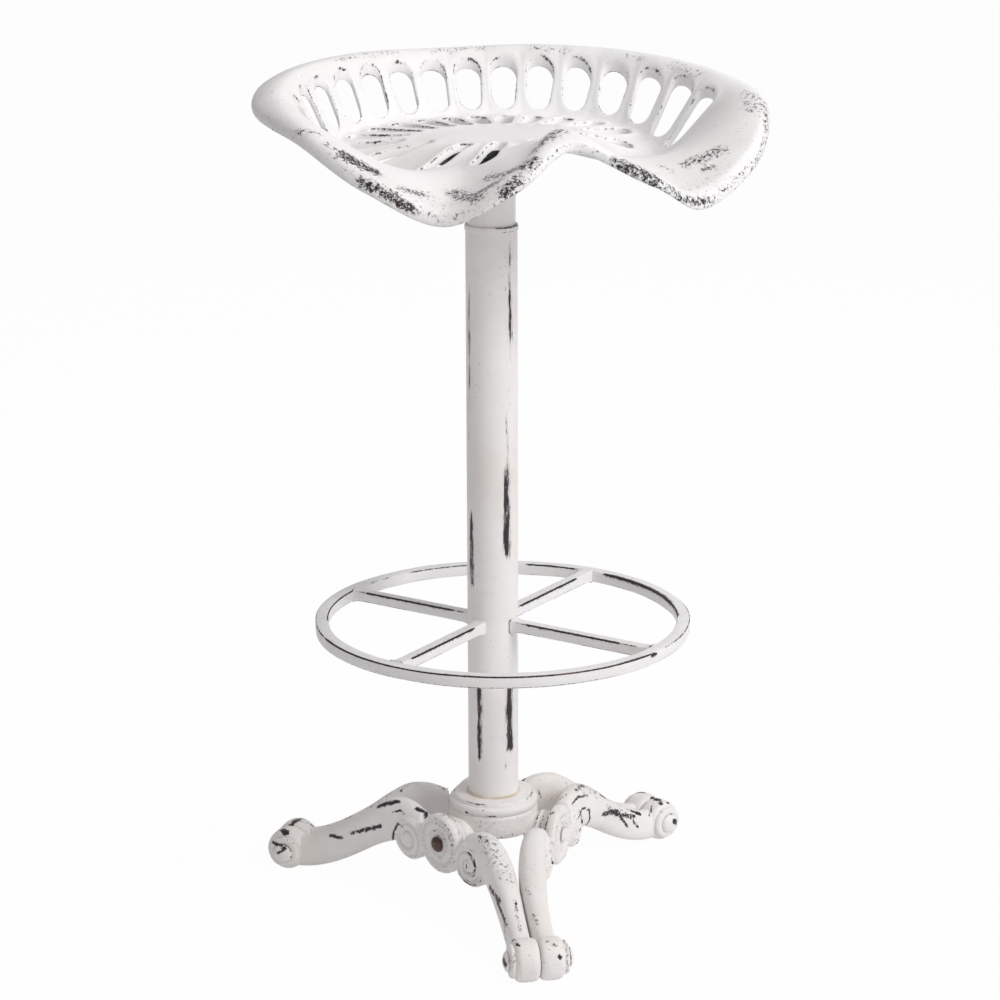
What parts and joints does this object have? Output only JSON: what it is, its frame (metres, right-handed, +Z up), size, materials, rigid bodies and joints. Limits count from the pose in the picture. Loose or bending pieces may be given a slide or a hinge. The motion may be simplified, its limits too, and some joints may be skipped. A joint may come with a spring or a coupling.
{
  "type": "tractor seat stool",
  "caption": "Bar stool with a slotted cast tractor seat on a screw-lift column, a round footrest hoop on spokes, and scrolled cast feet.",
  "frame": {"origin": "middle of the stool's outer box, on the floor that it stands on", "axes": "+Z up along the column; the viewer of the picture looks along +Y, with +X to the right; the sitter faces -Y, turned 19.4 degrees counter-clockwise as seen from above"},
  "size_m": [0.4376, 0.393, 0.743],
  "materials": {
    "cast_paint": "distressed antique white paint over cast iron, worn to dark metal on edges and high spots, semi-matt",
    "tube_paint": "distressed antique white paint over steel tube and bar, with long dark scuffs, semi-matt",
    "black_steel": "plain black oxide steel, satin",
    "bright_steel": "machined steel, lightly oiled",
    "rusty_steel": "rust-brown worn steel bolt heads with remains of white paint",
    "nylon": "natural white nylon, matt"
  },
  "bodies": {
    "base": {"column_tube": "tube_paint", "lift_nut": "bright_steel", "column_end_plug": "bright_steel", "tie_washer": "black_steel", "tie_bolt": "black_steel", "footrest_hoop": "tube_paint", "footrest_spoke_1": "tube_paint", "footrest_spoke_2": "tube_paint", "footrest_spoke_3": "tube_paint", "footrest_spoke_4": "tube_paint", "base_hub": "cast_paint", "side_casting_left": "cast_paint", "side_casting_right": "cast_paint", "side_casting_back": "cast_paint", "rosette_bolt_1": "rusty_steel", "rosette_bolt_2": "rusty_steel", "rosette_bolt_3": "rusty_steel", "foot_bolt_1": "cast_paint", "foot_bolt_2": "cast_paint", "foot_bolt_3": "cast_paint", "foot_cap_nut_1": "cast_paint", "foot_cap_nut_2": "cast_paint", "foot_cap_nut_3": "cast_paint"},
    "guide": {"screw_guide": "nylon"},
    "seat": {"seat_pan": "cast_paint", "seat_mount_plate": "black_steel", "seat_bolt_1": "black_steel", "seat_bolt_2": "black_steel", "seat_bolt_3": "black_steel", "seat_bolt_4": "black_steel", "seat_washer_1": "black_steel", "seat_washer_2": "black_steel", "seat_washer_3": "black_steel", "seat_washer_4": "black_steel", "neck_tube": "tube_paint", "lift_screw": "bright_steel", "guide_washer": "bright_steel", "guide_nut": "bright_steel"}
  },
  "joints": [
    {"name": "seat_rise", "type": "slide", "parent": "base", "child": "guide", "axis": [0, 0, 1], "range_m": [-0.0501, 0.0601]},
    {"name": "seat_turn", "type": "hinge", "parent": "guide", "child": "seat", "pos_m": [-0.01112, 0.03126, 0], "axis": [0, 0, 1], "range_deg": [-3000, 3600]}
  ],
  "couplings": [
    {"joint": "seat_rise", "follows": "seat_turn", "m_per_rad": 0.00095493}
  ]
}
